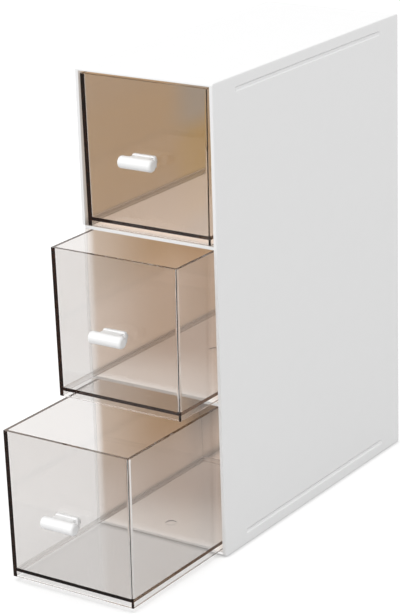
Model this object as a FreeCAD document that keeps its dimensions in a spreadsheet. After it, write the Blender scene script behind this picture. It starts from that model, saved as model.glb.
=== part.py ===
"""Coffee pod drawer organizer: a white snap-together casing with three clear drawers.

Frame: X is the width, the drawers open towards -Y, Z is up. The origin is the middle of the
casing's underside. The drawers stand as far open as in the photograph.
"""
import math
import os
import re

import FreeCAD, Part

import Sketcher

PARTS_FOLDER = "parts"

# Driving sizes in millimetres
SIZES = {
    # casing
    "casing_width": 115.2,
    "casing_depth": 254.0,
    "casing_height": 348.0,
    "side_thickness": 2.8,
    "top_thickness": 2.4,
    "base_thickness": 3.2,
    "shelf_thickness": 2.6,
    "rear_thickness": 2.4,
    "rear_recess": 11.6,
    "outline_radius": 2.0,
    "edge_radius": 0.8,
    "shelf_edge_radius": 0.5,
    # snap lips of the top and base, and their long windows in the sides
    "lip_thickness": 1.2,
    "lip_height": 16.0,
    "lip_setback": 2.6,
    "window_length": 196.6,
    "window_width": 1.6,
    "window_bevel": 1.1,
    "window_inset": 9.6,
    "bead_height": 0.8,
    # tongues of the shelves and the rear panel, and their housings in the sides
    "tongue_reach": 1.1,
    "tongue_thickness": 1.6,
    "housing_stop": 3.6,
    "rear_tongue_inset": 20.0,
    "fit_gap": 0.1,
    # clearances of a drawer in its bay
    "run_gap": 0.3,
    "head_gap": 1.8,
    "side_gap": 1.3,
    "back_gap": 0.5,
    # drawer tray
    "drawer_wall": 2.5,
    "drawer_floor": 2.6,
    "drawer_skirt": 3.6,
    "drawer_taper": 1.35,
    "drawer_corner_radius": 0.8,
    "drawer_inner_radius": 1.1,
    "gate_diameter": 8.4,
    "gate_depth": 0.6,
    # handle
    "handle_drop": 56.0,
    "bar_length": 28.0,
    "bar_diameter": 9.0,
    "bar_end_radius": 1.8,
    "bar_standoff": 10.5,
    "neck_length": 16.5,
    "neck_height": 7.0,
    "plate_length": 19.0,
    "plate_height": 8.6,
    "plate_thickness": 2.0,
    "plate_corner_radius": 1.2,
    "peg_spacing": 14.0,
    "peg_diameter": 3.0,
    "peg_gap": 0.1,
    "barb_diameter": 3.9,
    "barb_length": 1.6,
    "barb_lead": 0.6,
    "barb_slot": 0.8,
    "peg_root": 0.5,
    # how far each drawer stands open
    "top_pull": 0.0,
    "middle_pull": 43.0,
    "bottom_pull": 107.0,
}

# Places and sizes that follow from the driving sizes
INNER_WIDTH = "(casing_width - 2 * side_thickness)"
BAY_HEIGHT = "((casing_height - top_thickness - base_thickness - 2 * shelf_thickness) / 3)"
BAY_PITCH = f"({BAY_HEIGHT} + shelf_thickness)"
FRONT = "(-casing_depth / 2)"
REAR_FACE = "(casing_depth / 2 - rear_recess - rear_thickness)"
LIP_WIDTH = f"({INNER_WIDTH} + 2 * lip_thickness)"
LIP_DEPTH = "(casing_depth - 2 * lip_setback)"
TONGUE_WIDTH = f"({INNER_WIDTH} + 2 * tongue_reach)"
DRAWER_HEIGHT = f"({BAY_HEIGHT} - run_gap - head_gap)"
DRAWER_LENGTH = f"({REAR_FACE} - {FRONT} - back_gap)"
DRAWER_TOP_WIDTH = f"({INNER_WIDTH} - 2 * side_gap)"
DRAWER_FOOT_WIDTH = f"({DRAWER_TOP_WIDTH} - 2 * drawer_taper)"
FLOOR_TOP = "(drawer_skirt + drawer_floor)"
HANDLE_LEVEL = f"({DRAWER_HEIGHT} - handle_drop)"
BAR_TO_PLATE = "(bar_standoff - plate_thickness)"

RIGHT, LEFT = 1, -1
SIZE_NAME = re.compile(r"\b[a-z]+(?:_[a-z]+)+\b")
CLOSE = 1e-4
SAME_PLACE = 1e-3


def bound(text):
    """Return an expression in which every size is read from the sheet."""
    return SIZE_NAME.sub(lambda word: "Sizes." + word.group(0), text)


def signed(side, text):
    """Return an expression for a distance on the right (1) or the left (-1)."""
    return text if side == RIGHT else f"-({text})"


def drawer_width_at(level):
    """Return the outer width of a drawer at a level above its foot."""
    return f"({DRAWER_FOOT_WIDTH} + 2 * drawer_taper * ({level}) / {DRAWER_HEIGHT})"


def shelf_underside(count):
    """Return the level of the underside of the shelf above the given number of bays."""
    return f"(base_thickness + {count} * {BAY_PITCH} - shelf_thickness)"


def make_sheet(doc):
    """Write the driving sizes into a spreadsheet, each under its own alias."""
    sheet = doc.addObject("Spreadsheet::Sheet", "Sizes")
    for row, (name, value) in enumerate(SIZES.items(), start=1):
        sheet.set(f"A{row}", name)
        sheet.set(f"B{row}", str(value))
        sheet.setAlias(f"B{row}", name)
    doc.recompute()


def new_body(doc, label):
    """Add an empty body whose label is also its file name."""
    body = doc.addObject("PartDesign::Body", label)
    body.Label = label
    return body


def sketch_on(body, role, name, offset):
    """Add a sketch on one of the body's origin planes, moved by three expressions."""
    sketch = body.newObject("Sketcher::SketchObject", name)
    plane = next(item for item in body.Origin.OriginFeatures if item.Role == role)
    sketch.AttachmentSupport = [(plane, "")]
    sketch.MapMode = "FlatFace"
    for axis, text in zip("xyz", offset):
        sketch.setExpression(f"AttachmentOffset.Base.{axis}", bound(text))
    return sketch


def set_size(sketch, constraint, name, text):
    """Add a named constraint and bind its value to an expression."""
    index = sketch.addConstraint(constraint)
    sketch.renameConstraint(index, name)
    sketch.setExpression(f"Constraints.{name}", bound(text))


def close_loop(sketch, count):
    """Join the given number of lines end to start."""
    for index in range(count):
        sketch.addConstraint(Sketcher.Constraint("Coincident", index, 2, (index + 1) % count, 1))


def draw_trapezoid(sketch, foot, top, height):
    """Draw a trapezoid that stands on the sketch's X axis, even about its Y axis."""
    corners = [(-50, 0), (50, 0), (51, 40), (-51, 40)]
    points = [FreeCAD.Vector(x, y, 0) for x, y in corners]
    for start, end in zip(points, points[1:] + points[:1]):
        sketch.addGeometry(Part.LineSegment(start, end), False)
    close_loop(sketch, len(points))
    sketch.addConstraint(Sketcher.Constraint("PointOnObject", 0, 1, -1))
    sketch.addConstraint(Sketcher.Constraint("Symmetric", 0, 1, 0, 2, -2))
    sketch.addConstraint(Sketcher.Constraint("Symmetric", 2, 2, 2, 1, -2))
    set_size(sketch, Sketcher.Constraint("DistanceX", 0, 1, 0, 2, 100.0), "foot", foot)
    set_size(sketch, Sketcher.Constraint("DistanceX", 2, 2, 2, 1, 102.0), "top", top)
    set_size(sketch, Sketcher.Constraint("DistanceY", -1, 1, 2, 2, 40.0), "rise", height)


def draw_rectangle(sketch, width, height):
    """Draw a rectangle that stands on the sketch's X axis, even about its Y axis."""
    draw_trapezoid(sketch, width, width, height)


def draw_stadium(sketch, length, height):
    """Draw a bar with round ends, centred on the sketch's origin."""
    reach, radius = 40.0, 4.0
    vector = FreeCAD.Vector
    normal = vector(0, 0, 1)
    quarter = math.pi / 2
    right_end = Part.Circle(vector(reach, 0, 0), normal, radius)
    left_end = Part.Circle(vector(-reach, 0, 0), normal, radius)
    low, right_arc, high, left_arc = range(4)
    sketch.addGeometry(Part.LineSegment(vector(-reach, -radius, 0), vector(reach, -radius, 0)), False)
    sketch.addGeometry(Part.ArcOfCircle(right_end, -quarter, quarter), False)
    sketch.addGeometry(Part.LineSegment(vector(reach, radius, 0), vector(-reach, radius, 0)), False)
    sketch.addGeometry(Part.ArcOfCircle(left_end, quarter, 3 * quarter), False)
    for first, second in ((low, right_arc), (right_arc, high), (high, left_arc), (left_arc, low)):
        sketch.addConstraint(Sketcher.Constraint("Tangent", first, 2, second, 1))
    sketch.addConstraint(Sketcher.Constraint("Horizontal", low))
    sketch.addConstraint(Sketcher.Constraint("Equal", right_arc, left_arc))
    sketch.addConstraint(Sketcher.Constraint("Symmetric", left_arc, 3, right_arc, 3, -1, 1))
    set_size(sketch, Sketcher.Constraint("Radius", right_arc, radius), "end_radius", f"{height} / 2")
    span = Sketcher.Constraint("DistanceX", left_arc, 3, right_arc, 3, 2 * reach)
    set_size(sketch, span, "span", f"{length} - {height}")


def draw_circle(sketch, diameter):
    """Draw a circle on the sketch's origin."""
    circle = Part.Circle(FreeCAD.Vector(0, 0, 0), FreeCAD.Vector(0, 0, 1), 3.0)
    sketch.addGeometry(circle, False)
    sketch.addConstraint(Sketcher.Constraint("Coincident", 0, 3, -1, 1))
    set_size(sketch, Sketcher.Constraint("Diameter", 0, 6.0), "across", diameter)


def draw_circle_pair(sketch, diameter, spacing):
    """Draw two circles, one each side of the sketch's origin."""
    for centre in (-7.0, 7.0):
        circle = Part.Circle(FreeCAD.Vector(centre, 0, 0), FreeCAD.Vector(0, 0, 1), 1.5)
        sketch.addGeometry(circle, False)
    sketch.addConstraint(Sketcher.Constraint("Equal", 0, 1))
    sketch.addConstraint(Sketcher.Constraint("Symmetric", 0, 3, 1, 3, -1, 1))
    sketch.addConstraint(Sketcher.Constraint("PointOnObject", 1, 3, -1))
    set_size(sketch, Sketcher.Constraint("Diameter", 0, 3.0), "across", diameter)
    set_size(sketch, Sketcher.Constraint("DistanceX", 0, 3, 1, 3, 14.0), "apart", spacing)


def extrude(body, kind, sketch, length, reverse):
    """Add a pad or a pocket of the sketch and check that it adds or removes material."""
    before = body.Shape.Volume if body.Tip else 0.0
    feature = body.newObject(f"PartDesign::{kind}", f"{kind}_{sketch.Name}")
    feature.Profile = sketch
    feature.Reversed = reverse
    feature.setExpression("Length", bound(length))
    body.Document.recompute()
    change = body.Shape.Volume - before
    wrong_way = change <= CLOSE if kind == "Pad" else change >= -CLOSE
    if wrong_way:
        raise RuntimeError(f"{feature.Name} changes the volume by {change:.3f} mm3")


def pad_back(body, sketch, length):
    """Pad a sketch on the XZ plane towards the rear."""
    extrude(body, "Pad", sketch, length, True)


def cut_back(body, sketch, length):
    """Pocket a sketch on the XZ plane towards the rear."""
    extrude(body, "Pocket", sketch, length, False)


def pad_outward(body, sketch, length, side):
    """Pad a sketch on the YZ plane away from the middle."""
    extrude(body, "Pad", sketch, length, side == LEFT)


def cut_outward(body, sketch, length, side):
    """Pocket a sketch on the YZ plane away from the middle."""
    extrude(body, "Pocket", sketch, length, side == RIGHT)


def dress_edges(body, kind, name, measure, text, chosen):
    """Add a fillet or a chamfer to the edges of the body's tip that the test picks."""
    tip = body.Tip
    edges = [f"Edge{number}" for number, edge in enumerate(tip.Shape.Edges, start=1) if chosen(edge)]
    if not edges:
        raise RuntimeError(f"{name} finds no edge")
    feature = body.newObject(f"PartDesign::{kind}", name)
    feature.Base = (tip, edges)
    feature.setExpression(measure, bound(text))
    body.Document.recompute()


def round_edges(body, name, radius, chosen):
    """Round the edges that the test picks."""
    dress_edges(body, "Fillet", name, "Radius", radius, chosen)


def chamfer_edges(body, name, size, chosen):
    """Bevel the edges that the test picks."""
    dress_edges(body, "Chamfer", name, "Size", size, chosen)


def size_of(doc, text):
    """Return the number that an expression gives."""
    return float(doc.getObject("Sizes").evalExpression(bound(text)))


def runs_along(edge, axis):
    """Return whether a straight edge runs along X, Y or Z, given as 0, 1 or 2."""
    if edge.Curve.TypeId != "Part::GeomLine":
        return False
    direction = edge.tangentAt(edge.FirstParameter)
    return abs(abs(direction[axis]) - 1.0) < CLOSE


def lies_at(edge, axis, place):
    """Return whether a whole edge lies at one place on an axis."""
    box = edge.BoundBox
    low = (box.XMin, box.YMin, box.ZMin)[axis]
    high = (box.XMax, box.YMax, box.ZMax)[axis]
    return abs(low - place) < SAME_PLACE and abs(high - place) < SAME_PLACE


def make_side_panel(doc, label, side):
    """Build one side of the casing, with housings and snap windows, flat on the YZ plane."""
    body = new_body(doc, label)
    face = signed(side, f"{INNER_WIDTH} / 2")
    blank = sketch_on(body, "YZ_Plane", "blank", ("0", "0", face))
    draw_rectangle(blank, "casing_depth", "casing_height")
    pad_outward(body, blank, "side_thickness", side)

    rebate_height = "lip_height + fit_gap"
    top_edge = "casing_height - lip_height - fit_gap"
    for name, level in (("base_rebate", "0"), ("top_rebate", top_edge)):
        rebate = sketch_on(body, "YZ_Plane", name, ("0", level, face))
        draw_rectangle(rebate, f"{LIP_DEPTH} + 2 * fit_gap", rebate_height)
        cut_outward(body, rebate, "lip_thickness", side)

    top_inset = "casing_height - window_inset"
    for name, level in (("base_window", "window_inset"), ("top_window", top_inset)):
        window = sketch_on(body, "YZ_Plane", name, ("0", level, face))
        draw_stadium(window, "window_length", "window_width")
        cut_outward(body, window, "side_thickness", side)

    housing_front = f"({FRONT} + housing_stop - fit_gap)"
    housing_length = f"({REAR_FACE} - {housing_front})"
    housing_middle = f"(({REAR_FACE} + {housing_front}) / 2)"
    for count, name in ((1, "lower_housing"), (2, "upper_housing")):
        level = f"{shelf_underside(count)} + (shelf_thickness - tongue_thickness) / 2 - fit_gap"
        housing = sketch_on(body, "YZ_Plane", name, (housing_middle, level, face))
        draw_rectangle(housing, housing_length, "tongue_thickness + 2 * fit_gap")
        cut_outward(body, housing, "tongue_reach + fit_gap", side)

    groove_place = (f"{REAR_FACE} + rear_thickness / 2", "rear_tongue_inset - fit_gap", face)
    groove = sketch_on(body, "YZ_Plane", "rear_groove", groove_place)
    groove_height = "casing_height - 2 * rear_tongue_inset + 2 * fit_gap"
    draw_rectangle(groove, "rear_thickness + 2 * fit_gap", groove_height)
    cut_outward(body, groove, "tongue_reach + fit_gap", side)

    half_depth = size_of(doc, "casing_depth / 2")
    height = size_of(doc, "casing_height")
    outer = side * size_of(doc, "casing_width / 2")

    def on_outline(edge):
        """Return whether an edge lies on the panel's rim."""
        ends = lies_at(edge, 1, half_depth) or lies_at(edge, 1, -half_depth)
        return ends or lies_at(edge, 2, 0.0) or lies_at(edge, 2, height)

    def is_corner(edge):
        """Return whether an edge is one of the outline's four corners."""
        at_end = lies_at(edge, 1, half_depth) or lies_at(edge, 1, -half_depth)
        return runs_along(edge, 0) and at_end and (lies_at(edge, 2, 0.0) or lies_at(edge, 2, height))

    round_edges(body, "outline_corners", "outline_radius", is_corner)
    corner_reach = size_of(doc, "outline_radius") * 1.01

    def on_outer_rim(edge):
        """Return whether an edge belongs to the outer face's rim, corner arcs included."""
        if not lies_at(edge, 0, outer):
            return False
        box = edge.BoundBox
        near_end = max(abs(box.YMin), abs(box.YMax)) > half_depth - corner_reach
        near_rim = box.ZMin < corner_reach or box.ZMax > height - corner_reach
        return on_outline(edge) or (near_end and near_rim and edge.Curve.TypeId == "Part::GeomCircle")

    round_edges(body, "outer_rim", "edge_radius", on_outer_rim)
    window_reach = size_of(doc, "window_length / 2") + SAME_PLACE

    def on_window_rim(edge):
        """Return whether an edge belongs to a window's rim on the outer face."""
        box = edge.BoundBox
        within = max(abs(box.YMin), abs(box.YMax)) < window_reach
        inside = box.ZMin > corner_reach and box.ZMax < height - corner_reach
        return lies_at(edge, 0, outer) and within and inside

    chamfer_edges(body, "window_bevels", "window_bevel", on_window_rim)
    return body


def make_lipped_panel(doc, label, thickness, at_top):
    """Build the top or the base: a plate between the sides with a snap lip along each."""
    body = new_body(doc, label)
    plate_level = f"casing_height - {thickness}" if at_top else "0"
    lip_level = "casing_height - lip_height" if at_top else "0"
    hollow_level = "casing_height - lip_height" if at_top else thickness
    bead_level = "casing_height - window_inset" if at_top else "window_inset"

    plate = sketch_on(body, "XZ_Plane", "plate", ("0", plate_level, f"-{FRONT}"))
    draw_rectangle(plate, INNER_WIDTH, thickness)
    pad_back(body, plate, "casing_depth")

    lip_front = f"-({FRONT} + lip_setback)"
    lips = sketch_on(body, "XZ_Plane", "lips", ("0", lip_level, lip_front))
    draw_rectangle(lips, LIP_WIDTH, "lip_height")
    pad_back(body, lips, LIP_DEPTH)
    hollow = sketch_on(body, "XZ_Plane", "hollow", ("0", hollow_level, lip_front))
    draw_rectangle(hollow, INNER_WIDTH, f"lip_height - {thickness}")
    cut_back(body, hollow, LIP_DEPTH)

    for side, name in ((RIGHT, "right_bead"), (LEFT, "left_bead")):
        bead = sketch_on(body, "YZ_Plane", name, ("0", bead_level, signed(side, f"{LIP_WIDTH} / 2")))
        draw_stadium(bead, "(window_length - 2 * fit_gap)", "(window_width - 2 * fit_gap)")
        pad_outward(body, bead, "bead_height", side)

    half_depth = size_of(doc, "casing_depth / 2")
    outer_level = size_of(doc, "casing_height") if at_top else 0.0

    def is_end_edge(edge):
        """Return whether an edge is the plate's front or rear edge on the outside."""
        at_end = lies_at(edge, 1, half_depth) or lies_at(edge, 1, -half_depth)
        return runs_along(edge, 0) and at_end and lies_at(edge, 2, outer_level)

    round_edges(body, "plate_ends", "outline_radius", is_end_edge)
    return body


def make_shelf(doc, label, count):
    """Build the shelf above the given number of bays, with a tongue along each side."""
    body = new_body(doc, label)
    level = shelf_underside(count)
    plate = sketch_on(body, "XZ_Plane", "plate", ("0", level, f"-{FRONT}"))
    draw_rectangle(plate, INNER_WIDTH, "shelf_thickness")
    pad_back(body, plate, f"{REAR_FACE} - {FRONT}")

    tongue_level = f"{level} + (shelf_thickness - tongue_thickness) / 2"
    tongue_front = f"({FRONT} + housing_stop)"
    tongues = sketch_on(body, "XZ_Plane", "tongues", ("0", tongue_level, f"-{tongue_front}"))
    draw_rectangle(tongues, TONGUE_WIDTH, "tongue_thickness")
    pad_back(body, tongues, f"{REAR_FACE} - {tongue_front}")

    front = size_of(doc, FRONT)

    def is_front_edge(edge):
        """Return whether an edge runs along the shelf's front face."""
        return runs_along(edge, 0) and lies_at(edge, 1, front)

    round_edges(body, "front_edges", "shelf_edge_radius", is_front_edge)
    return body


def make_rear_panel(doc, label):
    """Build the rear panel, set in from the casing's rear edge between sides, top and base."""
    body = new_body(doc, label)
    plate = sketch_on(body, "XZ_Plane", "plate", ("0", "base_thickness", f"-{REAR_FACE}"))
    draw_rectangle(plate, INNER_WIDTH, "casing_height - base_thickness - top_thickness")
    pad_back(body, plate, "rear_thickness")
    tongues = sketch_on(body, "XZ_Plane", "tongues", ("0", "rear_tongue_inset", f"-{REAR_FACE}"))
    draw_rectangle(tongues, TONGUE_WIDTH, "casing_height - 2 * rear_tongue_inset")
    pad_back(body, tongues, "rear_thickness")
    return body


def make_tray(doc, label, bay, pull):
    """Build a drawer's clear tray: tapered walls round a floor that stands on a low skirt."""
    body = new_body(doc, label)
    shell = sketch_on(body, "XZ_Plane", "shell", ("0", "0", f"-{FRONT}"))
    draw_trapezoid(shell, DRAWER_FOOT_WIDTH, DRAWER_TOP_WIDTH, DRAWER_HEIGHT)
    pad_back(body, shell, DRAWER_LENGTH)

    front = size_of(doc, FRONT)
    rear = size_of(doc, f"{FRONT} + {DRAWER_LENGTH}")

    def is_upright(edge):
        """Return whether an edge is one of the four upright corners."""
        tall = edge.BoundBox.ZLength > edge.BoundBox.XLength
        return tall and (lies_at(edge, 1, front) or lies_at(edge, 1, rear))

    round_edges(body, "upright_corners", "drawer_corner_radius", is_upright)

    inner_length = f"{DRAWER_LENGTH} - 2 * drawer_wall"
    inner_front = f"-({FRONT} + drawer_wall)"
    bay_cut = sketch_on(body, "XZ_Plane", "pod_bay", ("0", FLOOR_TOP, inner_front))
    bay_foot = f"{drawer_width_at(FLOOR_TOP)} - 2 * drawer_wall"
    bay_top = f"{DRAWER_TOP_WIDTH} - 2 * drawer_wall"
    draw_trapezoid(bay_cut, bay_foot, bay_top, f"{DRAWER_HEIGHT} - {FLOOR_TOP}")
    cut_back(body, bay_cut, inner_length)

    wall = size_of(doc, "drawer_wall")

    def is_bay_corner(edge):
        """Return whether an edge is an upright corner of the pod bay."""
        tall = edge.BoundBox.ZLength > edge.BoundBox.XLength
        return tall and (lies_at(edge, 1, front + wall) or lies_at(edge, 1, rear - wall))

    round_edges(body, "bay_corners", "drawer_inner_radius", is_bay_corner)

    skirt_cut = sketch_on(body, "XZ_Plane", "skirt_hollow", ("0", "0", inner_front))
    skirt_top = f"{drawer_width_at('drawer_skirt')} - 2 * drawer_wall"
    draw_trapezoid(skirt_cut, f"{DRAWER_FOOT_WIDTH} - 2 * drawer_wall", skirt_top, "drawer_skirt")
    cut_back(body, skirt_cut, inner_length)

    holes = sketch_on(body, "XZ_Plane", "peg_holes", ("0", HANDLE_LEVEL, f"-{FRONT}"))
    draw_circle_pair(holes, "peg_diameter + 2 * peg_gap", "peg_spacing")
    cut_back(body, holes, "drawer_wall")

    tray_middle = f"{FRONT} + {DRAWER_LENGTH} / 2"
    gate = sketch_on(body, "XY_Plane", "gate_mark", ("0", tray_middle, FLOOR_TOP))
    draw_circle(gate, "gate_diameter")
    extrude(body, "Pocket", gate, "gate_depth", False)
    place_in_bay(body, bay, pull)
    return body


def place_in_bay(body, bay, pull):
    """Stand a drawer's piece in its bay, counted from the bottom, and pull it open."""
    body.setExpression("Placement.Base.y", bound(f"-{pull}"))
    body.setExpression("Placement.Base.z", bound(f"base_thickness + {bay} * {BAY_PITCH} + run_gap"))


def make_handle(doc, label, bay, pull):
    """Build a handle: a round bar on a neck, a plate against the tray and two barbed pegs."""
    body = new_body(doc, label)
    face = f"-{FRONT}"
    plate_foot = f"{HANDLE_LEVEL} - plate_height / 2"
    plate = sketch_on(body, "XZ_Plane", "plate", ("0", plate_foot, f"{face} + plate_thickness"))
    draw_rectangle(plate, "plate_length", "plate_height")
    pad_back(body, plate, "plate_thickness")
    round_edges(body, "plate_corners", "plate_corner_radius", lambda edge: runs_along(edge, 1))

    neck_foot = f"{HANDLE_LEVEL} - neck_height / 2"
    neck = sketch_on(body, "XZ_Plane", "neck", ("0", neck_foot, f"{face} + bar_standoff"))
    draw_rectangle(neck, "neck_length", "neck_height")
    pad_back(body, neck, BAR_TO_PLATE)

    bar_place = (f"{FRONT} - bar_standoff", HANDLE_LEVEL, "-bar_length / 2")
    bar = sketch_on(body, "YZ_Plane", "bar", bar_place)
    draw_circle(bar, "bar_diameter")
    extrude(body, "Pad", bar, "bar_length", False)
    half_length = size_of(doc, "bar_length / 2")

    def is_bar_end(edge):
        """Return whether an edge is the rim of one of the bar's ends."""
        return lies_at(edge, 0, half_length) or lies_at(edge, 0, -half_length)

    round_edges(body, "bar_ends", "bar_end_radius", is_bar_end)

    pegs = sketch_on(body, "XZ_Plane", "pegs", ("0", HANDLE_LEVEL, face))
    draw_circle_pair(pegs, "peg_diameter", "peg_spacing")
    pad_back(body, pegs, "drawer_wall")
    barbs = sketch_on(body, "XZ_Plane", "barbs", ("0", HANDLE_LEVEL, f"{face} - drawer_wall"))
    draw_circle_pair(barbs, "barb_diameter", "peg_spacing")
    pad_back(body, barbs, "barb_length")
    barb_end = size_of(doc, f"{FRONT} + drawer_wall + barb_length")
    chamfer_edges(body, "barb_leads", "barb_lead", lambda edge: lies_at(edge, 1, barb_end))

    slot_foot = f"{HANDLE_LEVEL} - barb_slot / 2"
    slots = sketch_on(body, "XZ_Plane", "barb_slots", ("0", slot_foot, f"{face} - peg_root"))
    draw_rectangle(slots, "peg_spacing + 2 * barb_diameter", "barb_slot")
    cut_back(body, slots, "drawer_wall + barb_length - peg_root")
    place_in_bay(body, bay, pull)
    return body


def build(doc):
    """Build every piece of the organizer and return the bodies."""
    pieces = [
        make_side_panel(doc, "left_side_panel", LEFT),
        make_side_panel(doc, "right_side_panel", RIGHT),
        make_lipped_panel(doc, "top_panel", "top_thickness", True),
        make_lipped_panel(doc, "base_panel", "base_thickness", False),
        make_rear_panel(doc, "rear_panel"),
        make_shelf(doc, "lower_shelf", 1),
        make_shelf(doc, "upper_shelf", 2),
    ]
    for bay, drawer in enumerate(("bottom", "middle", "top")):
        pieces.append(make_tray(doc, f"{drawer}_drawer_tray", bay, f"{drawer}_pull"))
        pieces.append(make_handle(doc, f"{drawer}_drawer_handle", bay, f"{drawer}_pull"))
    return pieces


def check(doc, pieces):
    """Stop if any object failed or any piece isn't one valid solid."""
    for item in doc.Objects:
        if {"Invalid", "Error"} & set(item.State):
            raise RuntimeError(f"{item.Name} is {item.State}")
        if item.TypeId == "Sketcher::SketchObject" and not item.FullyConstrained:
            raise RuntimeError(f"{item.Name} isn't fully constrained")
    for piece in pieces:
        shape = piece.Shape
        if shape.isNull() or not shape.isValid() or len(shape.Solids) != 1:
            raise RuntimeError(f"{piece.Label} isn't one valid solid")


def main():
    """Build the organizer and write each piece to its own file."""
    doc = FreeCAD.newDocument("pod_drawer_organizer")
    make_sheet(doc)
    pieces = build(doc)
    doc.recompute()
    check(doc, pieces)
    os.makedirs(PARTS_FOLDER, exist_ok=True)
    for piece in pieces:
        piece.Shape.exportStep(os.path.join(PARTS_FOLDER, f"{piece.Label}.step"))
        box = piece.Shape.BoundBox
        print(f"{piece.Label}: {piece.Shape.Volume / 1000:.2f} cm3, "
              f"X {box.XMin:.2f} to {box.XMax:.2f}, Y {box.YMin:.2f} to {box.YMax:.2f}, "
              f"Z {box.ZMin:.2f} to {box.ZMax:.2f}")


main()
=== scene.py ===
"""Looks of the pod drawer organizer: a white casing and three clear drawers with white handles."""
import logging
import math
from dataclasses import dataclass
from enum import Enum

import bpy
from mathutils import Matrix, Quaternion, Vector


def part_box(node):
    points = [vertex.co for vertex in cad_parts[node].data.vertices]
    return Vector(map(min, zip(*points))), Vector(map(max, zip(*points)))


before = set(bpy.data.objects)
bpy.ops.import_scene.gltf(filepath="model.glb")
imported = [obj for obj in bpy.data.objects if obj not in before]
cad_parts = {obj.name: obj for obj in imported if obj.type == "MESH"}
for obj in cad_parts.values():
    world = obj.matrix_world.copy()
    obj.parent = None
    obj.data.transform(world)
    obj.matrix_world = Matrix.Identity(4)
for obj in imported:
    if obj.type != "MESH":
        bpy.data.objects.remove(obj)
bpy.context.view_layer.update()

MILLIMETRE = 0.001
BLACK = (0.0, 0.0, 0.0, 1.0)
WHITE = (1.0, 1.0, 1.0, 1.0)
LOG = logging.getLogger("organizer")


class Level(Enum):
    """A drawer's place in the casing."""

    BOTTOM = "bottom"
    MIDDLE = "middle"
    TOP = "top"


def millimetres(value: float) -> float:
    """Return a length in metres.

    Args:
        value: The length in millimetres.

    Returns:
        The same length in metres.
    """
    return value * MILLIMETRE


def darker(colour: tuple, share: float) -> tuple:
    """Return a colour with its channels scaled down.

    Args:
        colour: The colour, with its alpha.
        share: What is left of each channel.

    Returns:
        The darker colour, with an alpha of 1.
    """
    return tuple(channel * share for channel in colour[:3]) + (1.0,)


class NodeTree:
    """A short way to place and join shader nodes in one tree.

    Attributes:
        COLOUR_INPUTS: Where a mix node for colours takes its share and its two colours.
        COLOUR_OUTPUT: Where it gives the mixed colour.
    """

    COLOUR_INPUTS = (0, 6, 7)
    COLOUR_OUTPUT = 2

    def __init__(self, tree: bpy.types.NodeTree) -> None:
        """Wrap a tree.

        Args:
            tree: The material's or group's node tree.
        """
        self.tree = tree

    def add(self, kind: str, **settings: object) -> bpy.types.Node:
        """Place a shader node.

        Args:
            kind: The node's type, without the ShaderNode prefix.
            settings: Properties to set on the node.

        Returns:
            The new node.
        """
        node = self.tree.nodes.new(f"ShaderNode{kind}")
        for name, value in settings.items():
            setattr(node, name, value)
        return node

    def feed(self, socket: bpy.types.NodeSocket, value: object) -> None:
        """Link a socket to another, or set its own value.

        Args:
            socket: The input.
            value: An output socket, a number, or a tuple of numbers.
        """
        if isinstance(value, bpy.types.NodeSocket):
            self.tree.links.new(value, socket)
        else:
            socket.default_value = value

    def split(self, vector: bpy.types.NodeSocket) -> bpy.types.Node:
        """Split a vector into its axes.

        Args:
            vector: The vector's socket.

        Returns:
            The node with the outputs X, Y and Z.
        """
        node = self.add("SeparateXYZ")
        self.feed(node.inputs[0], vector)
        return node

    def maths(self, operation: str, *values: object) -> bpy.types.NodeSocket:
        """Place a maths node.

        Args:
            operation: The operation's name.
            values: Its operands.

        Returns:
            The result's socket.
        """
        node = self.add("Math", operation=operation)
        for socket, value in zip(node.inputs, values):
            self.feed(socket, value)
        return node.outputs[0]

    def product(self, *values: object) -> bpy.types.NodeSocket:
        """Multiply values.

        Args:
            values: Two or more output sockets or numbers.

        Returns:
            The product's socket.
        """
        result = values[0]
        for value in values[1:]:
            result = self.maths("MULTIPLY", result, value)
        return result

    def between(self, value: object, low: float, high: float) -> bpy.types.NodeSocket:
        """Test whether a value lies between two others.

        Args:
            value: The value to test.
            low: The lower limit.
            high: The upper limit.

        Returns:
            A socket that is 1 between them and 0 elsewhere.
        """
        return self.product(self.maths("GREATER_THAN", value, low), self.maths("LESS_THAN", value, high))

    def ramp(self, value: object, low: float, high: float, to_low: float = 0.0,
             to_high: float = 1.0) -> bpy.types.NodeSocket:
        """Place a smooth range from one pair of values to another.

        Args:
            value: The value to map.
            low: Where the range starts.
            high: Where it ends.
            to_low: The result at the start.
            to_high: The result at the end.

        Returns:
            The result's socket.
        """
        node = self.add("MapRange", interpolation_type="SMOOTHSTEP")
        for name, item in (("Value", value), ("From Min", low), ("From Max", high),
                           ("To Min", to_low), ("To Max", to_high)):
            self.feed(node.inputs[name], item)
        return node.outputs[0]

    def blend(self, share: object, first: object, second: object, way: str = "MIX") -> bpy.types.NodeSocket:
        """Mix two colours.

        Args:
            share: How much of the second colour shows.
            first: The colour at a share of 0.
            second: The colour at a share of 1.
            way: How they mix.

        Returns:
            The mixed colour's socket.
        """
        node = self.add("Mix", data_type="RGBA", blend_type=way)
        for index, value in zip(self.COLOUR_INPUTS, (share, first, second)):
            self.feed(node.inputs[index], value)
        return node.outputs[self.COLOUR_OUTPUT]

    def noise(self, place: object, size_mm: float, detail: float) -> bpy.types.NodeSocket:
        """Place a noise texture whose lumps have a real size.

        Args:
            place: The coordinates' socket.
            size_mm: The size of a lump in millimetres.
            detail: How many finer layers it has.

        Returns:
            The noise value's socket.
        """
        node = self.add("TexNoise")
        self.feed(node.inputs["Vector"], place)
        node.inputs["Scale"].default_value = 1.0 / millimetres(size_mm)
        node.inputs["Detail"].default_value = detail
        return node.outputs["Fac"]


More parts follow.
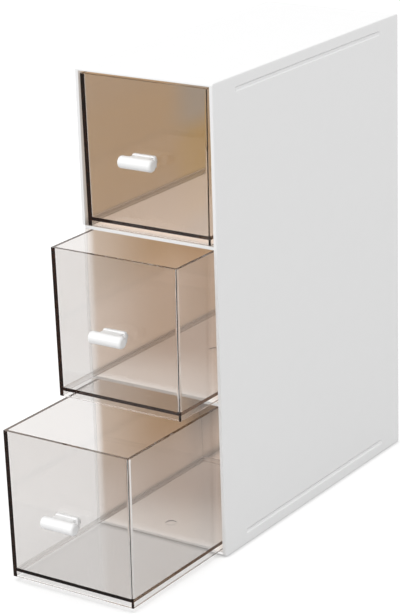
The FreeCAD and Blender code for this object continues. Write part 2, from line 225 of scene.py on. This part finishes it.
class EffectGroup:
    """A shader node group that several finishes share, with a Vector input for the place."""

    def __init__(self, name: str, inputs: tuple[str, ...], outputs: tuple[str, ...]) -> None:
        """Make the group and its ends.

        Args:
            name: The group's name.
            inputs: The names of its number inputs.
            outputs: The names of its number outputs.
        """
        self.group = bpy.data.node_groups.new(name, "ShaderNodeTree")
        self.group.interface.new_socket("Place", in_out="INPUT", socket_type="NodeSocketVector")
        for socket in inputs:
            self.group.interface.new_socket(socket, in_out="INPUT", socket_type="NodeSocketFloat")
        for socket in outputs:
            self.group.interface.new_socket(socket, in_out="OUTPUT", socket_type="NodeSocketFloat")
        self.nodes = NodeTree(self.group)
        self.start = self.group.nodes.new("NodeGroupInput")
        self.end = self.group.nodes.new("NodeGroupOutput")


@dataclass(frozen=True)
class SurfaceWear:
    """Sizes of the skin that a mould leaves and of the marks of handling."""

    grain_mm: float = 0.7
    grain_detail: float = 3.0
    flow_mm: float = 34.0
    flow_detail: float = 1.0
    mottle_mm: float = 11.0
    mottle_detail: float = 4.0
    smudge_mm: float = 26.0
    smudge_detail: float = 5.0
    smudge_range: tuple = (0.52, 0.72)

    def mould_skin(self) -> bpy.types.NodeTree:
        """Build the skin: a fine grain over long flow waves, and a mottle of the colour.

        Returns:
            The group.
        """
        effect = EffectGroup("mould_skin", ("Grain", "Flow"), ("Height", "Mottle"))
        nodes, start, end = effect.nodes, effect.start, effect.end
        place = start.outputs["Place"]
        grain = nodes.product(nodes.noise(place, self.grain_mm, self.grain_detail), start.outputs["Grain"])
        flow = nodes.product(nodes.noise(place, self.flow_mm, self.flow_detail), start.outputs["Flow"])
        nodes.feed(end.inputs["Height"], nodes.maths("ADD", grain, flow))
        nodes.feed(end.inputs["Mottle"], nodes.noise(place, self.mottle_mm, self.mottle_detail))
        return effect.group

    def handling_marks(self) -> bpy.types.NodeTree:
        """Build the soft smudges that handling leaves.

        Returns:
            The group.
        """
        effect = EffectGroup("handling_marks", (), ("Smudge",))
        lumps = effect.nodes.noise(effect.start.outputs["Place"], self.smudge_mm, self.smudge_detail)
        effect.nodes.feed(effect.end.inputs["Smudge"], effect.nodes.ramp(lumps, *self.smudge_range))
        return effect.group


class SharedEffects:
    """Node groups that more than one finish uses."""

    def __init__(self) -> None:
        """Build each group once."""
        wear = SurfaceWear()
        self.mould_skin = wear.mould_skin()
        self.handling_marks = wear.handling_marks()


class Material:
    """A material with a Principled shader, a place and room for the shared effects."""

    def __init__(self, name: str) -> None:
        """Make the material and its shader.

        Args:
            name: The material's name.
        """
        self.material = bpy.data.materials.new(name)
        self.material.use_nodes = True
        self.nodes = NodeTree(self.material.node_tree)
        self.shader = self.material.node_tree.nodes["Principled BSDF"]
        self.output = self.material.node_tree.nodes["Material Output"]
        self.place = self.nodes.add("TexCoord").outputs["Object"]

    def axes(self) -> bpy.types.Node:
        """Return a node with the place along X, Y and Z."""
        return self.nodes.split(self.place)

    def facing(self) -> bpy.types.Node:
        """Return a node with how far the surface faces along X, Y and Z."""
        return self.nodes.split(self.nodes.add("NewGeometry").outputs["Normal"])

    def set_constants(self, values: dict[str, object]) -> None:
        """Set constants on the shader's own sockets.

        Args:
            values: The sockets' names and their values.
        """
        for name, value in values.items():
            self.shader.inputs[name].default_value = value

    def group(self, tree: bpy.types.NodeTree, **values: float) -> bpy.types.Node:
        """Place a shared effect.

        Args:
            tree: The effect's group.
            values: Its inputs.

        Returns:
            The group node.
        """
        node = self.nodes.add("Group", node_tree=tree)
        self.nodes.feed(node.inputs["Place"], self.place)
        for name, value in values.items():
            node.inputs[name].default_value = value
        return node

    def polish(self, effects: SharedEffects, clean: float, handled: float) -> None:
        """Set the roughness, which changes where the plastic was handled.

        Args:
            effects: The shared node groups.
            clean: The roughness of untouched plastic.
            handled: The roughness of a smudge.
        """
        marks = self.group(effects.handling_marks)
        rough = self.nodes.ramp(marks.outputs["Smudge"], 0.0, 1.0, clean, handled)
        self.nodes.feed(self.shader.inputs["Roughness"], rough)

    def bump(self, height: bpy.types.NodeSocket, depth_mm: float) -> None:
        """Raise the surface by a height map.

        Args:
            height: The height's socket.
            depth_mm: How far 1 stands out, in millimetres.
        """
        node = self.nodes.add("Bump")
        node.inputs["Strength"].default_value = 1.0
        node.inputs["Distance"].default_value = millimetres(depth_mm)
        self.nodes.feed(node.inputs["Height"], height)
        self.nodes.feed(self.shader.inputs["Normal"], node.outputs["Normal"])


@dataclass(frozen=True)
class PaintedBayLight:
    """Colour of the painted glow that stands in for light seeping into one bay through the white walls.

    Attributes:
        low: Low on the walls, towards the front.
        high: High on the walls, towards the front.
        low_rear: Low on the walls at the rear.
        high_rear: High on the walls at the rear.
        floor: On the floor.
        lip: Just inside the mouth.
        turn: The heights between which low goes over into high, as shares of the bay's height.
        mouth: How much painted light the open mouth adds.
    """

    low: tuple
    high: tuple
    low_rear: tuple
    high_rear: tuple
    floor: tuple
    lip: tuple
    turn: tuple
    mouth: float


# Painted glow of the three bays, an emission that stands in for light seeping in; BLACK leaves the bottom
# bay's high rear in painted shade.
BOTTOM_BAY = PaintedBayLight(
    low=(0.45, 0.325, 0.24, 1.0), high=(0.34, 0.21, 0.11, 1.0),
    low_rear=(0.31, 0.23, 0.175, 1.0), high_rear=BLACK,
    floor=(0.47, 0.37, 0.31, 1.0), lip=(0.92, 0.90, 0.88, 1.0), turn=(0.10, 0.45), mouth=1.0)
MIDDLE_BAY = PaintedBayLight(
    low=(0.53, 0.38, 0.27, 1.0), high=(0.38, 0.25, 0.145, 1.0),
    low_rear=(0.44, 0.29, 0.18, 1.0), high_rear=(0.31, 0.18, 0.08, 1.0),
    floor=(0.49, 0.37, 0.30, 1.0), lip=(0.92, 0.90, 0.88, 1.0), turn=(0.35, 0.70), mouth=1.0)
TOP_BAY = PaintedBayLight(
    low=(0.43, 0.27, 0.135, 1.0), high=(0.43, 0.28, 0.155, 1.0),
    low_rear=(0.43, 0.255, 0.07, 1.0), high_rear=(0.34, 0.285, 0.23, 1.0),
    floor=(0.77, 0.63, 0.53, 1.0), lip=(0.27, 0.26, 0.25, 1.0), turn=(0.27, 0.47), mouth=0.0)


@dataclass(frozen=True)
class WhiteCasingFinish:
    """White moulded plastic of the casing, with a painted warm glow inside for light through and off the
    walls.

    Attributes:
        outside: The colour outside.
        inside: The colour inside, a darker copy of the outside, because the painted glow comes on top of
            it.
        mottle: What is left of the outside colour in its darker patches.
        roughness: The roughness of clean and of handled plastic.
        refraction: The index of refraction.
        gloss: The share of mirror light.
        grain: The strength of the mould's fine grain.
        flow: The strength of its long waves.
        skin_depth_mm: How far a height of 1 stands out.
        bays: The painted glow in the bays, from the bottom up.
        mouth_light: The painted light that an open mouth adds on the walls.
        mouth_floor_light: The painted light that it adds on the floor.
        mouth_depth_mm: How far in that reaches.
        lip_reach_mm: How far in the painted light of the lip reaches.
        rear_mm: The depths between which the front colours go over into the rear ones.
        edge_light: The painted light on the front edges behind the open drawers.
        corner_reach_mm: How far the painted shade reaches out of a corner.
        corner_shade: How much of the painted glow it takes away there.
        inner_half_mm: Half the width that counts as inside.
        front_mm: The depth at which the inside starts.
        low_mm: The height at which it starts.
        high_mm: The height at which it ends.
        face_margin_mm: How far behind the rear panel's inner face it ends.
        floor_margin_mm: How far below a floor its bay starts.
        upward_from: The least upward part of the normal on a floor.
    """

    outside: tuple = (0.89, 0.89, 0.89, 1.0)
    inside: tuple = (0.50, 0.475, 0.45, 1.0)
    mottle: float = 0.985
    roughness: tuple = (0.42, 0.34)
    refraction: float = 1.5
    gloss: float = 0.45
    grain: float = 0.25
    flow: float = 6.0
    skin_depth_mm: float = 0.012
    bays: tuple[PaintedBayLight, ...] = (BOTTOM_BAY, MIDDLE_BAY, TOP_BAY)
    mouth_light: tuple = (0.18, 0.21, 0.23, 1.0)
    mouth_floor_light: tuple = (0.28, 0.33, 0.35, 1.0)
    mouth_depth_mm: float = 90.0
    lip_reach_mm: float = 10.0
    rear_mm: tuple = (-25.0, 15.0)
    edge_light: tuple = (0.34, 0.34, 0.34, 1.0)
    corner_reach_mm: float = 8.0
    corner_shade: float = 0.7
    inner_half_mm: float = 54.9
    front_mm: float = -126.95
    low_mm: float = 3.1
    high_mm: float = 345.7
    face_margin_mm: float = 0.05
    floor_margin_mm: float = 1.0
    upward_from: float = 0.5

    def inside_share(self, made: Material) -> bpy.types.NodeSocket:
        """Work out where a surface lies inside the casing.

        Args:
            made: The material being built.

        Returns:
            A socket that is 1 inside and 0 outside.
        """
        nodes, axes = made.nodes, made.axes()
        across = nodes.maths("ABSOLUTE", axes.outputs["X"])
        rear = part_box("rear_panel")[0][1] + millimetres(self.face_margin_mm)
        return nodes.product(
            nodes.maths("LESS_THAN", across, millimetres(self.inner_half_mm)),
            nodes.between(axes.outputs["Y"], millimetres(self.front_mm), rear),
            nodes.between(axes.outputs["Z"], millimetres(self.low_mm), millimetres(self.high_mm)))

    def painted_edge_mask(self, made: Material) -> bpy.types.NodeSocket:
        """Work out where painted light, standing in for light through the open drawers, goes on the
        casing's front edges.

        Args:
            made: The material being built.

        Returns:
            A socket that is 1 on the left wall's edge below the top bay and on the base's edge.
        """
        nodes, axes = made.nodes, made.axes()
        half = millimetres(self.inner_half_mm)
        before = nodes.maths("LESS_THAN", axes.outputs["Y"], millimetres(self.front_mm))
        left_wall = nodes.product(nodes.maths("LESS_THAN", axes.outputs["X"], -half),
                                  nodes.maths("LESS_THAN", axes.outputs["Z"], self.floor_heights()[-1]))
        base = nodes.product(nodes.maths("LESS_THAN", axes.outputs["Z"], millimetres(self.low_mm)),
                             nodes.maths("LESS_THAN", axes.outputs["X"], half))
        return nodes.product(before, nodes.maths("MAXIMUM", left_wall, base))

    def painted_bay_light(self, made: Material, axes: bpy.types.Node, upward: bpy.types.NodeSocket,
                  bay: PaintedBayLight, foot: float, height: float) -> bpy.types.NodeSocket:
        """Work out the colour of the painted glow in one bay.

        Args:
            made: The material being built.
            axes: The node that gives the place along each axis.
            upward: A socket that is 1 on faces that look up.
            bay: The bay's colours.
            foot: The height of its floor in metres.
            height: Its own height in metres.

        Returns:
            The colour's socket.
        """
        nodes = made.nodes
        depth, front = axes.outputs["Y"], millimetres(self.front_mm)
        rear = nodes.ramp(depth, *(millimetres(y) for y in self.rear_mm))
        turn = nodes.ramp(axes.outputs["Z"], *(foot + share * height for share in bay.turn))
        wall = nodes.blend(turn, nodes.blend(rear, bay.low, bay.low_rear),
                           nodes.blend(rear, bay.high, bay.high_rear))
        mouth = nodes.ramp(depth, front, front + millimetres(self.mouth_depth_mm), bay.mouth, 0.0)
        lip = nodes.ramp(depth, front, front + millimetres(self.lip_reach_mm), 1.0, 0.0)
        wall = nodes.blend(mouth, wall, self.mouth_light, "ADD")
        floor = nodes.blend(mouth, bay.floor, self.mouth_floor_light, "ADD")
        return nodes.blend(lip, nodes.blend(upward, wall, floor), bay.lip)

    def painted_seeping_light(self, made: Material) -> bpy.types.NodeSocket:
        """Work out the colour of the painted glow that stands in for light seeping through the walls, with
        painted shade in corners.

        Args:
            made: The material being built.

        Returns:
            The colour's socket.
        """
        nodes, axes = made.nodes, made.axes()
        upward = nodes.maths("GREATER_THAN", made.facing().outputs["Z"], self.upward_from)
        floors = self.floor_heights()
        height = floors[1] - floors[0]
        light = self.painted_bay_light(made, axes, upward, self.bays[0], floors[0], height)
        for bay, foot in zip(self.bays[1:], floors[1:]):
            above = nodes.maths("GREATER_THAN", axes.outputs["Z"], foot - millimetres(self.floor_margin_mm))
            light = nodes.blend(above, light, self.painted_bay_light(made, axes, upward, bay, foot, height))
        # Painted shade: the glow goes to black along the bays' lower corners.
        return nodes.blend(self.corners(made, axes, upward), light, BLACK)

    def corners(self, made: Material, axes: bpy.types.Node,
                upward: bpy.types.NodeSocket) -> bpy.types.NodeSocket:
        """Work out the painted shade along the lower corners of the bays.

        Args:
            made: The material being built.
            axes: The node that gives the place along each axis.
            upward: A socket that is 1 on faces that look up.

        Returns:
            A socket that is 0 in the open.
        """
        nodes = made.nodes
        reach = millimetres(self.corner_reach_mm)
        across = nodes.maths("ABSOLUTE", axes.outputs["X"])
        wall_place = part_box("right_side_panel")[0][0]
        on_floor = nodes.ramp(across, wall_place - reach, wall_place, 0.0, self.corner_shade)
        shade = nodes.product(upward, on_floor)
        upright = nodes.maths("SUBTRACT", 1.0, upward)
        for height in self.floor_heights():
            off = nodes.maths("ABSOLUTE", nodes.maths("SUBTRACT", axes.outputs["Z"], height))
            on_wall = nodes.product(nodes.ramp(off, 0.0, reach, self.corner_shade, 0.0), upright)
            shade = nodes.maths("MAXIMUM", shade, on_wall)
        return shade

    @staticmethod
    def floor_heights() -> list[float]:
        """Return the heights of the three bays' floors, which are evenly spaced."""
        lower, upper = (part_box(name)[1][2] for name in ("lower_shelf", "upper_shelf"))
        return [2.0 * lower - upper, lower, upper]

    def build(self, effects: SharedEffects) -> bpy.types.Material:
        """Build the material.

        Args:
            effects: The shared node groups.

        Returns:
            The material.
        """
        made = Material("white_casing_plastic")
        nodes = made.nodes
        skin = made.group(effects.mould_skin, Grain=self.grain, Flow=self.flow)
        outside = nodes.blend(skin.outputs["Mottle"], self.outside, darker(self.outside, self.mottle))
        inside = self.inside_share(made)
        # Inside, a darker copy of the white plastic, under the painted glow.
        nodes.feed(made.shader.inputs["Base Color"], nodes.blend(inside, outside, self.inside))
        # Painted light on the front edges behind the open drawers, and none elsewhere outside.
        edges = nodes.blend(self.painted_edge_mask(made), BLACK, self.edge_light)
        # Inside, a painted glow, an emission, stands in for the light seeping through the walls.
        light = nodes.blend(inside, edges, self.painted_seeping_light(made))
        nodes.feed(made.shader.inputs["Emission Color"], light)
        made.set_constants({"IOR": self.refraction, "Specular IOR Level": self.gloss,
                            "Emission Strength": 1.0})
        made.polish(effects, *self.roughness)
        made.bump(skin.outputs["Height"], self.skin_depth_mm)
        return made.material


@dataclass(frozen=True)
class WhiteHandleFinish:
    """Bright white moulded plastic of the handles, whose rear faces glow with painted light for the light
    through the clear plastic.
    """

    colour: tuple = (0.95, 0.95, 0.95, 1.0)
    mottle: float = 0.98
    roughness: tuple = (0.3, 0.22)
    refraction: float = 1.5
    grain: float = 0.3
    flow: float = 3.0
    skin_depth_mm: float = 0.008
    painted_rear_glow: float = 0.55
    rear_facing: tuple = (0.5, 0.9)

    def build(self, effects: SharedEffects) -> bpy.types.Material:
        """Build the material.

        Args:
            effects: The shared node groups.

        Returns:
            The material.
        """
        made = Material("white_handle_plastic")
        nodes = made.nodes
        skin = made.group(effects.mould_skin, Grain=self.grain, Flow=self.flow)
        colour = nodes.blend(skin.outputs["Mottle"], self.colour, darker(self.colour, self.mottle))
        nodes.feed(made.shader.inputs["Base Color"], colour)
        made.set_constants({"IOR": self.refraction, "Emission Color": WHITE})
        # Painted light: faces that look back into the drawer glow white.
        light = nodes.ramp(made.facing().outputs["Y"], *self.rear_facing, 0.0, self.painted_rear_glow)
        nodes.feed(made.shader.inputs["Emission Strength"], light)
        made.polish(effects, *self.roughness)
        made.bump(skin.outputs["Height"], self.skin_depth_mm)
        return made.material


@dataclass(frozen=True)
class ClearTrayFinish:
    """Clear polystyrene with a faint warm grey tint that darkens with the length of the light's path."""

    surface: tuple = (0.875, 0.871, 0.871, 1.0)
    tint: tuple = (0.6, 0.5, 0.4, 1.0)
    tint_density: float = 32.0
    roughness: tuple = (0.0, 0.03)
    refraction: float = 1.5
    gloss: float = 0.5
    through: tuple = (0.96, 0.957, 0.955, 1.0)
    grain: float = 0.004
    flow: float = 5.0
    skin_depth_mm: float = 0.01

    def build(self, effects: SharedEffects) -> bpy.types.Material:
        """Build the material.

        Args:
            effects: The shared node groups.

        Returns:
            The material.
        """
        made = Material("clear_tray_plastic")
        nodes = made.nodes
        skin = made.group(effects.mould_skin, Grain=self.grain, Flow=self.flow)
        made.set_constants({"Base Color": self.surface, "Transmission Weight": 1.0,
                            "IOR": self.refraction, "Specular IOR Level": self.gloss})
        made.polish(effects, *self.roughness)
        made.bump(skin.outputs["Height"], self.skin_depth_mm)
        clear = nodes.add("BsdfTransparent")
        clear.inputs["Color"].default_value = self.through
        mix = nodes.add("MixShader")
        nodes.feed(mix.inputs[0], nodes.add("LightPath").outputs["Is Shadow Ray"])
        nodes.feed(mix.inputs[1], made.shader.outputs[0])
        nodes.feed(mix.inputs[2], clear.outputs[0])
        nodes.feed(made.output.inputs["Surface"], mix.outputs[0])
        volume = nodes.add("VolumeAbsorption")
        volume.inputs["Color"].default_value = self.tint
        volume.inputs["Density"].default_value = self.tint_density
        nodes.feed(made.output.inputs["Volume"], volume.outputs[0])
        return made.material


@dataclass(frozen=True)
class FloorFinish:
    """Matt near-white floor with light of its own, so that it stays pale through the clear plastic.

    Attributes:
        colour: Its own colour.
        mottle: What is left of the colour in its darker patches.
        roughness: Its roughness.
        gloss: Its share of mirror light.
        glow: The light that the camera sees, also through clear plastic.
        unseen_glow: The light that it gives to everything else.
        contact_mm: How near a thing has to be for the painted contact shadow on the glow.
        contact_samples: How many rays look for such a thing.
        contact_range: The openness between which the shade fades.
        contact_shade: What is left of the glow where the painted contact shadow is darkest.
        mirror_image: The brightness of the dim painted reflection that replaces its first mirror image in
            front.
        image_front_mm: The depths between which that image goes over into the full one.
        first_ray: A ray depth just past a first reflection.
    """

    colour: tuple = (0.40, 0.40, 0.40, 1.0)
    mottle: float = 0.99
    roughness: float = 0.9
    gloss: float = 0.1
    glow: float = 0.69
    unseen_glow: float = 0.16
    contact_mm: float = 5.0
    contact_samples: int = 8
    contact_range: tuple = (0.4, 1.0)
    contact_shade: float = 0.55
    mirror_image: float = 0.3
    image_front_mm: tuple = (-200.0, -100.0)
    first_ray: float = 1.5

    def build(self, effects: SharedEffects) -> bpy.types.Material:
        """Build the material.

        Args:
            effects: The shared node groups.

        Returns:
            The material.
        """
        made = Material("studio_floor")
        nodes = made.nodes
        skin = made.group(effects.mould_skin, Grain=1.0, Flow=0.0)
        colour = nodes.blend(skin.outputs["Mottle"], self.colour, darker(self.colour, self.mottle))
        nodes.feed(made.shader.inputs["Base Color"], colour)
        made.set_constants({"Roughness": self.roughness, "Specular IOR Level": self.gloss,
                            "Emission Color": WHITE})
        path = nodes.add("LightPath")
        seen = nodes.maths("MAXIMUM", path.outputs["Is Camera Ray"], path.outputs["Is Transmission Ray"])
        # Painted contact shadow: the glow is darkened where an ambient occlusion test finds a thing close
        # by.
        contact = nodes.add("AmbientOcclusion", samples=self.contact_samples)
        contact.inputs["Distance"].default_value = millimetres(self.contact_mm)
        contact_shadow_share = nodes.ramp(contact.outputs["AO"], *self.contact_range, self.contact_shade, 1.0)
        glow = nodes.ramp(seen, 0.0, 1.0, self.unseen_glow, self.glow)
        nodes.feed(made.shader.inputs["Emission Strength"], nodes.product(glow, contact_shadow_share))
        self.paint_dim_floor_reflection(made, path)
        return made.material

    def paint_dim_floor_reflection(self, made: Material, path: bpy.types.Node) -> None:
        """Paint a dim reflection in place of the floor's first mirror image in front of the organizer, so
        that its clear fronts stay deep.

        Args:
            made: The material being built.
            path: Its light path node.
        """
        nodes = made.nodes
        # Painted reflection: first glossy rays from in front see a dim glow instead of the lit floor.
        image = nodes.add("Emission")
        image.inputs["Strength"].default_value = self.mirror_image
        limits = (millimetres(y) for y in self.image_front_mm)
        front = nodes.ramp(made.axes().outputs["Y"], *limits, 1.0, 0.0)
        first = nodes.maths("LESS_THAN", path.outputs["Ray Depth"], self.first_ray)
        outer = nodes.maths("SUBTRACT", 1.0, path.outputs["Is Transmission Ray"])
        mix = nodes.add("MixShader")
        nodes.feed(mix.inputs[0], nodes.product(first, front, path.outputs["Is Glossy Ray"], outer))
        nodes.feed(mix.inputs[1], made.shader.outputs[0])
        nodes.feed(mix.inputs[2], image.outputs[0])
        nodes.feed(made.output.inputs["Surface"], mix.outputs[0])


@dataclass
class Casing:
    """The white casing: seven panels that snap together."""

    finish: bpy.types.Material
    panels: tuple[str, ...] = ("left_side_panel", "right_side_panel", "top_panel", "base_panel",
                               "rear_panel", "lower_shelf", "upper_shelf")

    def dress(self) -> None:
        """Give every panel its finish."""
        for name in self.panels:
            paint(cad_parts[name], self.finish)
            LOG.info("dressed %s", name)


@dataclass
class Drawer:
    """One drawer: a clear tray and its white handle."""

    level: Level
    tray_finish: bpy.types.Material
    handle_finish: bpy.types.Material

    def dress(self) -> None:
        """Give the tray and the handle their finishes."""
        for part, finish in (("tray", self.tray_finish), ("handle", self.handle_finish)):
            name = f"{self.level.value}_drawer_{part}"
            paint(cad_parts[name], finish)
            LOG.info("dressed %s", name)


def paint(piece: bpy.types.Object, finish: bpy.types.Material) -> None:
    """Put one finish on a whole piece.

    Args:
        piece: The piece.
        finish: Its material.
    """
    if not piece.material_slots:
        piece.data.materials.append(finish)
    for place in piece.material_slots:
        place.material = finish


@dataclass
class Studio:
    """The floor, the soft light and the camera at the photograph's angle. Plain lengths are in metres."""

    floor_size: float = 14.0
    floor_gap_mm: float = 0.2
    sky_strength: float = 1.03
    sun_strength: float = 0.12
    sun_angle_deg: float = 50.0
    sun_from: tuple = (-0.3, 0.05, 1.0)
    box_place: tuple = (-1.3, -2.2, 1.3)
    box_aim: tuple = (0.0, 0.0, 0.15)
    box_size: float = 1.2
    box_watts: float = 14.0
    camera_place: tuple = (0.9003, -1.3816, 0.7084)
    azimuth_deg: float = 34.381
    elevation_deg: float = 18.912
    roll_deg: float = 1.827
    lens_mm: float = 135.49
    sensor_mm: float = 36.0
    clear_bounces: int = 128
    diffuse_bounces: int = 8
    transparent_bounces: int = 48

    def lay_floor(self, finish: bpy.types.Material) -> None:
        """Lay the floor just under the casing.

        Args:
            finish: The floor's material.
        """
        mesh = bpy.data.meshes.new("floor")
        half = self.floor_size / 2
        corners = [(-half, -half, 0.0), (half, -half, 0.0), (half, half, 0.0), (-half, half, 0.0)]
        mesh.from_pydata(corners, [], [(0, 1, 2, 3)])
        floor = bpy.data.objects.new("floor", mesh)
        bpy.context.scene.collection.objects.link(floor)
        mesh.materials.append(finish)
        floor.location.z = -millimetres(self.floor_gap_mm)

    def light(self) -> None:
        """Light the scene with a pale sky, a wide soft sun from above and a soft box in front."""
        world = bpy.data.worlds.new("studio")
        bpy.context.scene.world = world
        world.use_nodes = True
        sky = world.node_tree.nodes["Background"]
        sky.inputs["Color"].default_value = WHITE
        sky.inputs["Strength"].default_value = self.sky_strength
        sun = bpy.data.lights.new("overhead", "SUN")
        sun.energy = self.sun_strength
        sun.angle = math.radians(self.sun_angle_deg)
        self._hang(sun, (0.0, 0.0, 0.0), Vector(self.sun_from).to_track_quat("Z", "Y"))
        box = bpy.data.lights.new("front", "AREA")
        box.shape = "SQUARE"
        box.size = self.box_size
        box.energy = self.box_watts
        aim = Vector(self.box_aim) - Vector(self.box_place)
        self._hang(box, self.box_place, aim.to_track_quat("-Z", "Y"))

    @staticmethod
    def _hang(data: bpy.types.Light, place: tuple, turn: Quaternion) -> None:
        """Hang a lamp.

        Args:
            data: The lamp.
            place: Where it hangs.
            turn: How it is turned.
        """
        lamp = bpy.data.objects.new(data.name, data)
        lamp.location = place
        lamp.rotation_euler = turn.to_euler()
        bpy.context.scene.collection.objects.link(lamp)

    def set_camera(self) -> None:
        """Set the camera where the photograph was taken from."""
        azimuth, elevation, roll = (math.radians(angle) for angle in
                                    (self.azimuth_deg, self.elevation_deg, self.roll_deg))
        data = bpy.data.cameras.new("camera")
        data.sensor_fit = "VERTICAL"
        data.sensor_height = self.sensor_mm
        data.lens = self.lens_mm
        camera = bpy.data.objects.new("camera", data)
        turn = Matrix.Rotation(azimuth, 3, "Z") @ Matrix.Rotation(math.pi / 2 - elevation, 3, "X")
        camera.matrix_world = (Matrix.Translation(self.camera_place)
                               @ (turn @ Matrix.Rotation(-roll, 3, "Z")).to_4x4())
        bpy.context.scene.collection.objects.link(camera)
        bpy.context.scene.camera = camera

    def set_film(self) -> None:
        """Keep plain colours and give light enough bounces to cross the clear walls."""
        bpy.context.scene.view_settings.view_transform = "Standard"
        cycles = bpy.context.scene.cycles
        cycles.max_bounces = self.clear_bounces
        cycles.transmission_bounces = self.clear_bounces
        cycles.glossy_bounces = self.clear_bounces
        cycles.diffuse_bounces = self.diffuse_bounces
        cycles.transparent_max_bounces = self.transparent_bounces
        cycles.caustics_refractive = True
        cycles.caustics_reflective = False


def main() -> None:
    """Build and dress the organizer and its studio."""
    logging.basicConfig(level=logging.INFO, format="%(name)s: %(message)s")
    effects = SharedEffects()
    clear = ClearTrayFinish().build(effects)
    handle = WhiteHandleFinish().build(effects)
    Casing(WhiteCasingFinish().build(effects)).dress()
    for level in Level:
        Drawer(level, clear, handle).dress()
    studio = Studio()
    studio.lay_floor(FloorFinish().build(effects))
    studio.light()
    studio.set_camera()
    studio.set_film()


if __name__ == "__main__":
    main()
